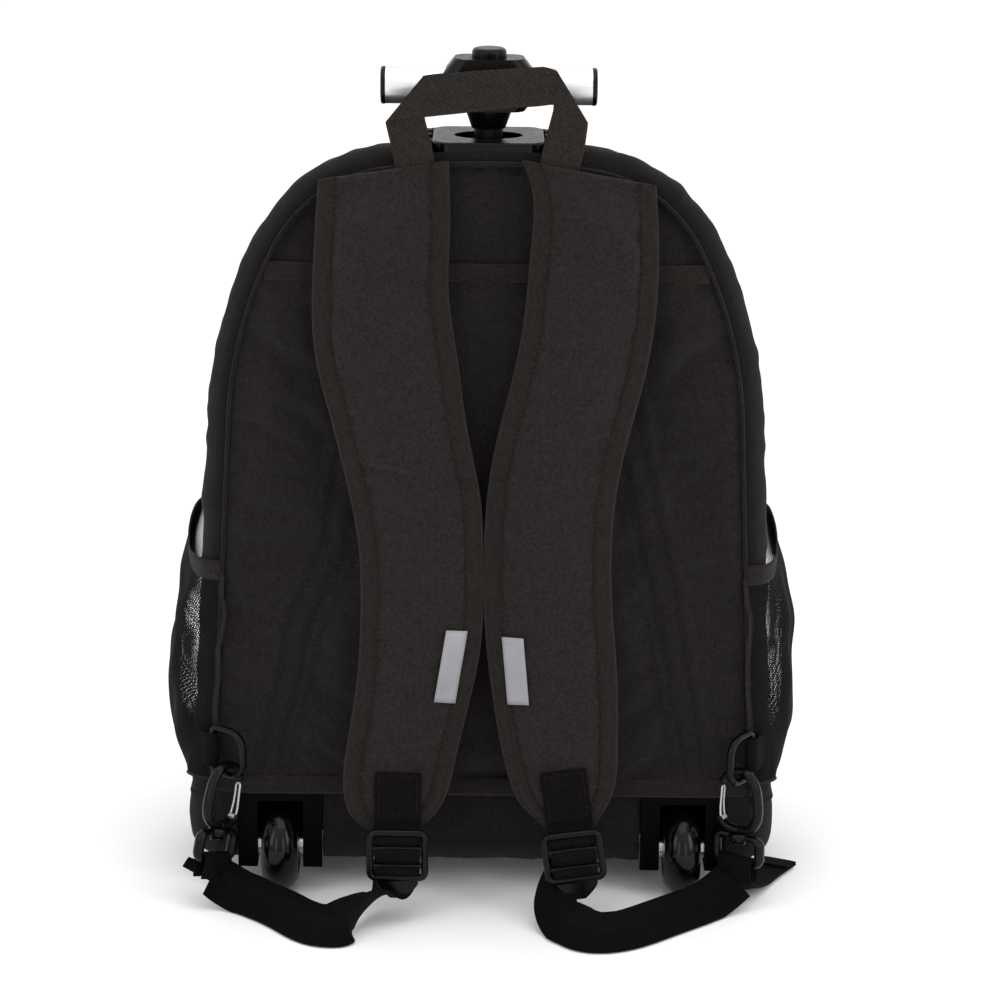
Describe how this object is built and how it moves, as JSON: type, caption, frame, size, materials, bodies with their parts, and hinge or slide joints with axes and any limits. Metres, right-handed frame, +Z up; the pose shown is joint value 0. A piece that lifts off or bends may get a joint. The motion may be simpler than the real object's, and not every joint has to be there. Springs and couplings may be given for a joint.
{
  "type": "rolling backpack",
  "caption": "Soft backpack on two inline wheels with a telescopic T-handle, padded shoulder straps clipped to rings, mesh side pockets, back sleeve and grab loop.",
  "frame": {"origin": "bottom centre of the bounding box, on the surface that the wheels and front feet stand on", "axes": "+Z up; -Y is the side with the shoulder straps and wheels; +Y is the front pocket; +X is the right-hand side seen from the strap side"},
  "size_m": [0.434, 0.2962, 0.562],
  "materials": {
    "fabric": "matt black polyester weave",
    "base_fabric": "matt black coated polyester",
    "strap_fabric": "matt black polyester twill over foam",
    "webbing": "ribbed black polypropylene webbing",
    "binding": "herringbone black binding tape",
    "mesh": "black knitted net",
    "reflective": "grey retro-reflective tape",
    "black_plastic": "satin black moulding",
    "housing_plastic": "satin black moulding",
    "wheel_tread": "glossy black polyurethane",
    "wheel_plastic": "black moulding",
    "aluminium": "satin anodised silver",
    "dark_aluminium": "black anodised",
    "steel": "bright plated",
    "zip_tape": "woven tape with nylon coil",
    "zip_metal": "black lacquered die-casting"
  },
  "bodies": {
    "root": {"adjuster_webbing_left": "webbing", "adjuster_webbing_right": "webbing", "axle_fasteners": "steel", "back_panel": "fabric", "back_sleeve": "fabric", "back_stiffener": "housing_plastic", "base_tray": "housing_plastic", "base_wrap": "base_fabric", "front_feet": "housing_plastic", "front_pocket": "fabric", "front_shell": "fabric", "handle_outer_tube": "aluminium", "ladder_locks": "black_plastic", "main_sliders": "zip_metal", "main_zip": "zip_tape", "mesh_pocket_left": "mesh", "mesh_pocket_right": "mesh", "piping": "binding", "pocket_elastics": "binding", "pocket_zip": "zip_tape", "rear_gusset": "fabric", "reflective_tabs": "reflective", "ring_tabs": "webbing", "shoulder_strap_left": "strap_fabric", "shoulder_strap_right": "strap_fabric", "sleeve_bindings": "binding", "strap_tabs": "webbing", "swivel_eyes": "black_plastic", "top_bezel": "black_plastic", "wheel_housing_left": "housing_plastic", "wheel_housing_right": "housing_plastic", "yoke_binding": "binding"},
    "mid_tube": {"handle_mid_tube": "aluminium"},
    "grip": {"handle_stem": "dark_aluminium", "handle_hub": "black_plastic", "crossbar": "aluminium", "crossbar_caps": "black_plastic", "lock_block": "housing_plastic", "button_spring": "steel"},
    "button": {"release_button": "black_plastic", "push_rod": "steel"},
    "bolt": {"lock_bolt": "steel"},
    "grab_loop": {"grab_loop": "webbing"},
    "main_pull_left": {"main_pull_left": "zip_metal"},
    "main_pull_right": {"main_pull_right": "zip_metal"},
    "pocket_slider": {"pocket_slider": "zip_metal"},
    "pocket_pull": {"pocket_pull": "zip_metal"},
    "wheel_left": {"tyre_left": "wheel_tread", "wheel_core_left": "wheel_plastic", "wheel_bearings_left": "steel"},
    "ring_left": {"d_ring_left": "black_plastic"},
    "hook_left": {"snap_hook_left": "black_plastic"},
    "gate_left": {"hook_gate_left": "steel"},
    "wheel_right": {"tyre_right": "wheel_tread", "wheel_core_right": "wheel_plastic", "wheel_bearings_right": "steel"},
    "ring_right": {"d_ring_right": "black_plastic"},
    "hook_right": {"snap_hook_right": "black_plastic"},
    "gate_right": {"hook_gate_right": "steel"}
  },
  "joints": [
    {"name": "mid_tube_slide", "type": "slide", "parent": "root", "child": "mid_tube", "axis": [0, 0, 1], "range_m": [0, 0.215]},
    {"name": "grip_slide", "type": "slide", "parent": "mid_tube", "child": "grip", "axis": [0, 0, 1], "range_m": [0, 0.215]},
    {"name": "button_press", "type": "slide", "parent": "grip", "child": "button", "axis": [0, 0, -1], "range_m": [0, 0.0038], "stiffness_N_per_m": 600, "springref_m": -0.0015, "deforming": ["button_spring"]},
    {"name": "bolt_draw", "type": "slide", "parent": "grip", "child": "bolt", "axis": [-1, 0, 0], "range_m": [0, 0.0025]},
    {"name": "grab_loop_fold", "type": "hinge", "parent": "root", "child": "grab_loop", "pos_m": [-0.002, -0.05514, 0.4942], "axis": [1, 0, 0], "range_deg": [-6, 62], "stiffness_Nm_per_rad": 0.06},
    {"name": "wheel_left_spin", "type": "hinge", "parent": "root", "child": "wheel_left", "pos_m": [-0.134, -0.04244, 0.03], "axis": [1, 0, 0], "continuous": true},
    {"name": "ring_left_swing", "type": "hinge", "parent": "root", "child": "ring_left", "pos_m": [-0.177, -0.06144, 0.0885], "axis": [0, 0, 1], "range_deg": [-12, 8]},
    {"name": "hook_left_swivel", "type": "hinge", "parent": "root", "child": "hook_left", "pos_m": [-0.16754, -0.06883, 0.0885], "axis": [0.1593, 0.204, 0.9659], "range_deg": [-18, 8]},
    {"name": "gate_left_open", "type": "hinge", "parent": "hook_left", "child": "gate_left", "pos_m": [-0.16451, -0.06495, 0.05819], "axis": [0.788, -0.6157, 0], "range_deg": [0, 20], "stiffness_Nm_per_rad": 0.02, "springref_deg": -8.59},
    {"name": "wheel_right_spin", "type": "hinge", "parent": "root", "child": "wheel_right", "pos_m": [0.134, -0.04244, 0.03], "axis": [1, 0, 0], "continuous": true},
    {"name": "ring_right_swing", "type": "hinge", "parent": "root", "child": "ring_right", "pos_m": [0.177, -0.06144, 0.0885], "axis": [0, 0, 1], "range_deg": [-12, 12]},
    {"name": "hook_right_swivel", "type": "hinge", "parent": "root", "child": "hook_right", "pos_m": [0.17012, -0.07127, 0.0885], "axis": [0, 0, 1], "range_deg": [-18, 18]},
    {"name": "gate_right_open", "type": "hinge", "parent": "hook_right", "child": "gate_right", "pos_m": [0.1598, -0.06405, 0.0605], "axis": [0.5736, 0.8192, 0], "range_deg": [0, 20], "stiffness_Nm_per_rad": 0.02, "springref_deg": -8.59},
    {"name": "main_pull_left_lift", "type": "hinge", "parent": "root", "child": "main_pull_left", "pos_m": [-0.0345, 0.03606, 0.49974], "axis": [0, 1, 0], "range_deg": [0, 115]},
    {"name": "main_pull_right_lift", "type": "hinge", "parent": "root", "child": "main_pull_right", "pos_m": [0.0345, 0.03606, 0.49974], "axis": [0, -1, 0], "range_deg": [0, 115]},
    {"name": "pocket_slider_slide", "type": "slide", "parent": "root", "child": "pocket_slider", "axis": [1, 0, 0], "range_m": [0, 0.22]},
    {"name": "pocket_pull_lift", "type": "hinge", "parent": "pocket_slider", "child": "pocket_pull", "pos_m": [-0.11, 0.14666, 0.2915], "axis": [1, 0, 0], "range_deg": [0, 110]}
  ],
  "couplings": [
    {"joint": "bolt_draw", "follows": "button_press", "ratio": 0.65}
  ]
}
